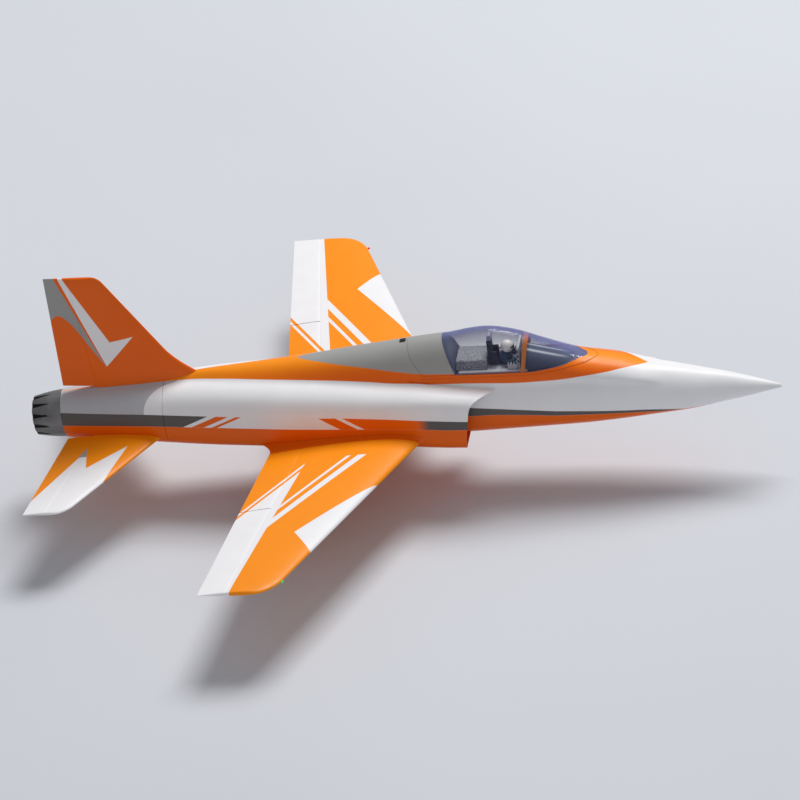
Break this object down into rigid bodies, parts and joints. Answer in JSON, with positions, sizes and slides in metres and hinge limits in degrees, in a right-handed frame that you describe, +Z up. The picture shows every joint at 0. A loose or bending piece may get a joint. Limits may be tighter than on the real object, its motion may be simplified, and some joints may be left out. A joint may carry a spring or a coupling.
{
  "type": "rc_jet_plane",
  "caption": "Radio controlled ducted fan sport jet with swept wing, side intakes, bubble canopy, working control surfaces and retractable tricycle landing gear.",
  "frame": {"origin": "on the ground under the middle of the length, with the flat belly on the ground", "axes": "+X towards the nose, +Y to port, +Z up"},
  "size_m": [1.5496, 1.3, 0.392],
  "materials": {
    "paint_white": "painted foam, satin",
    "paint_orange": "painted foam, satin",
    "paint_grey": "painted foam, satin",
    "canopy_smoke": "clear smoked plastic",
    "black_plastic": "moulded",
    "dark_nozzle": "metallic dark grey",
    "fan_plastic": "moulded, glass filled",
    "duct_plastic": "thin sheet",
    "motor_alloy": "anodised",
    "leg_alloy": "machined",
    "steel_rod": "drawn wire",
    "joiner_tube": "woven tube",
    "tyre_rubber": "moulded",
    "wheel_white": "moulded",
    "ply": "thin plywood",
    "battery_wrap": "shrink wrap",
    "strap": "hook and loop strap",
    "alloy_case": "anodised",
    "suit": "painted figure",
    "helmet": "painted figure",
    "seat_black": "painted",
    "light_lens": "clear coloured lens"
  },
  "bodies": {
    "airframe": {"nose_cone": "paint_white", "front_fuselage": "paint_white", "main_fuselage": "paint_white", "tail_fuselage": "paint_grey", "intake_lip_left": "paint_white", "intake_lip_right": "paint_white", "wing_fairing_left": "paint_orange", "wing_fairing_right": "paint_orange", "wing_left": "paint_white", "wing_right": "paint_white", "stab_left": "paint_white", "stab_right": "paint_white", "fin": "paint_orange", "hinge_rods": "steel_rod", "nozzle": "dark_nozzle", "thrust_tube": "duct_plastic", "fan_housing": "fan_plastic", "fan_motor": "motor_alloy", "wing_spar": "joiner_tube", "inlet_ducts": "duct_plastic", "battery_tray": "ply", "battery": "battery_wrap", "battery_straps": "strap", "speed_controller": "alloy_case", "receiver": "black_plastic", "servos": "black_plastic", "nose_retract": "black_plastic", "main_retracts": "black_plastic", "nav_lights": "light_lens"},
    "flap_left": {"flap_left": "paint_white"},
    "flap_right": {"flap_right": "paint_white"},
    "aileron_left": {"aileron_left": "paint_white"},
    "aileron_right": {"aileron_right": "paint_white"},
    "elevator_left": {"elevator_left": "paint_white"},
    "elevator_right": {"elevator_right": "paint_white"},
    "rudder": {"rudder": "paint_orange"},
    "fan": {"fan_rotor": "fan_plastic"},
    "hatch": {"hatch_frame": "paint_orange", "hatch_deck": "paint_grey", "canopy_glass": "canopy_smoke", "canopy_bow": "paint_orange", "cockpit_floor": "paint_grey", "instrument_panel": "black_plastic", "pilot_seat": "seat_black", "pilot_body": "suit", "pilot_helmet": "helmet"},
    "latch": {"hatch_latch": "black_plastic"},
    "nose_strut": {"nose_leg": "leg_alloy", "nose_door": "paint_orange"},
    "nose_steering": {"nose_fork": "leg_alloy"},
    "nose_wheel": {"nose_hub": "wheel_white", "nose_tyre": "tyre_rubber"},
    "main_strut_left": {"main_leg_left": "leg_alloy", "main_doors_left": "paint_orange"},
    "main_strut_right": {"main_leg_right": "leg_alloy", "main_doors_right": "paint_orange"},
    "main_wheel_left": {"main_hub_left": "wheel_white", "main_tyre_left": "tyre_rubber"},
    "main_wheel_right": {"main_hub_right": "wheel_white", "main_tyre_right": "tyre_rubber"}
  },
  "joints": [
    {"name": "flap_right", "type": "hinge", "parent": "airframe", "child": "flap_right", "pos_m": [-0.2186, -0.2305, 0.03083], "axis": [-0.1358, -0.9897, 0.0461], "range_deg": [0, 40]},
    {"name": "flap_left", "type": "hinge", "parent": "airframe", "child": "flap_left", "pos_m": [-0.2186, 0.2305, 0.03083], "axis": [0.1358, -0.9897, -0.0461], "range_deg": [0, 40]},
    {"name": "aileron_right", "type": "hinge", "parent": "airframe", "child": "aileron_right", "pos_m": [-0.2551, -0.4965, 0.04322], "axis": [-0.1358, -0.9897, 0.0461], "range_deg": [-20, 20]},
    {"name": "aileron_left", "type": "hinge", "parent": "airframe", "child": "aileron_left", "pos_m": [-0.2551, 0.4965, 0.04322], "axis": [0.1358, -0.9897, -0.0461], "range_deg": [-20, 20]},
    {"name": "elevator_right", "type": "hinge", "parent": "airframe", "child": "elevator_right", "pos_m": [-0.67916, -0.1855, 0.03], "axis": [-0.2176, -0.9753, -0.0389], "range_deg": [-20, 20]},
    {"name": "elevator_left", "type": "hinge", "parent": "airframe", "child": "elevator_left", "pos_m": [-0.67916, 0.1855, 0.03], "axis": [0.2176, -0.9753, 0.0389], "range_deg": [-20, 20]},
    {"name": "rudder", "type": "hinge", "parent": "airframe", "child": "rudder", "pos_m": [-0.64816, 0, 0.262], "axis": [-0.0843, 0, 0.9964], "range_deg": [-25, 25]},
    {"name": "fan_spin", "type": "hinge", "parent": "airframe", "child": "fan", "pos_m": [-0.26316, 0, 0.065], "axis": [1, 0, 0], "continuous": true},
    {"name": "hatch_lift", "type": "slide", "parent": "airframe", "child": "hatch", "axis": [0, 0, 1], "range_m": [0, 0.12]},
    {"name": "latch_slide", "type": "slide", "parent": "airframe", "child": "latch", "axis": [-0.9886, 0, -0.1504], "range_m": [0, 0.005]},
    {"name": "nose_retract", "type": "hinge", "parent": "airframe", "child": "nose_strut", "pos_m": [0.34484, 0, 0.027], "axis": [0, -1, 0], "range_deg": [0, 97]},
    {"name": "nose_steer", "type": "hinge", "parent": "nose_strut", "child": "nose_steering", "pos_m": [0.31109, 0, 0.03114], "axis": [-0.9925, 0, 0.1219], "range_deg": [-25, 25]},
    {"name": "nose_wheel_spin", "type": "hinge", "parent": "nose_steering", "child": "nose_wheel", "pos_m": [0.22772, 0, 0.04138], "axis": [0, 1, 0], "continuous": true},
    {"name": "main_retract_right", "type": "hinge", "parent": "airframe", "child": "main_strut_right", "pos_m": [-0.11016, -0.258, 0.03311], "axis": [-1, 0, 0], "range_deg": [0, 88]},
    {"name": "main_retract_left", "type": "hinge", "parent": "airframe", "child": "main_strut_left", "pos_m": [-0.11016, 0.258, 0.03311], "axis": [1, 0, 0], "range_deg": [0, 88]},
    {"name": "main_wheel_right_spin", "type": "hinge", "parent": "main_strut_right", "child": "main_wheel_right", "pos_m": [-0.11016, -0.153, 0.02896], "axis": [0, 0.0395, 0.9992], "continuous": true},
    {"name": "main_wheel_left_spin", "type": "hinge", "parent": "main_strut_left", "child": "main_wheel_left", "pos_m": [-0.11016, 0.153, 0.02896], "axis": [0, -0.0395, 0.9992], "continuous": true}
  ],
  "couplings": [
    {"joint": "flap_left", "follows": "flap_right", "ratio": 1},
    {"joint": "aileron_left", "follows": "aileron_right", "ratio": -1},
    {"joint": "elevator_left", "follows": "elevator_right", "ratio": 1},
    {"joint": "main_retract_left", "follows": "main_retract_right", "ratio": 1}
  ]
}
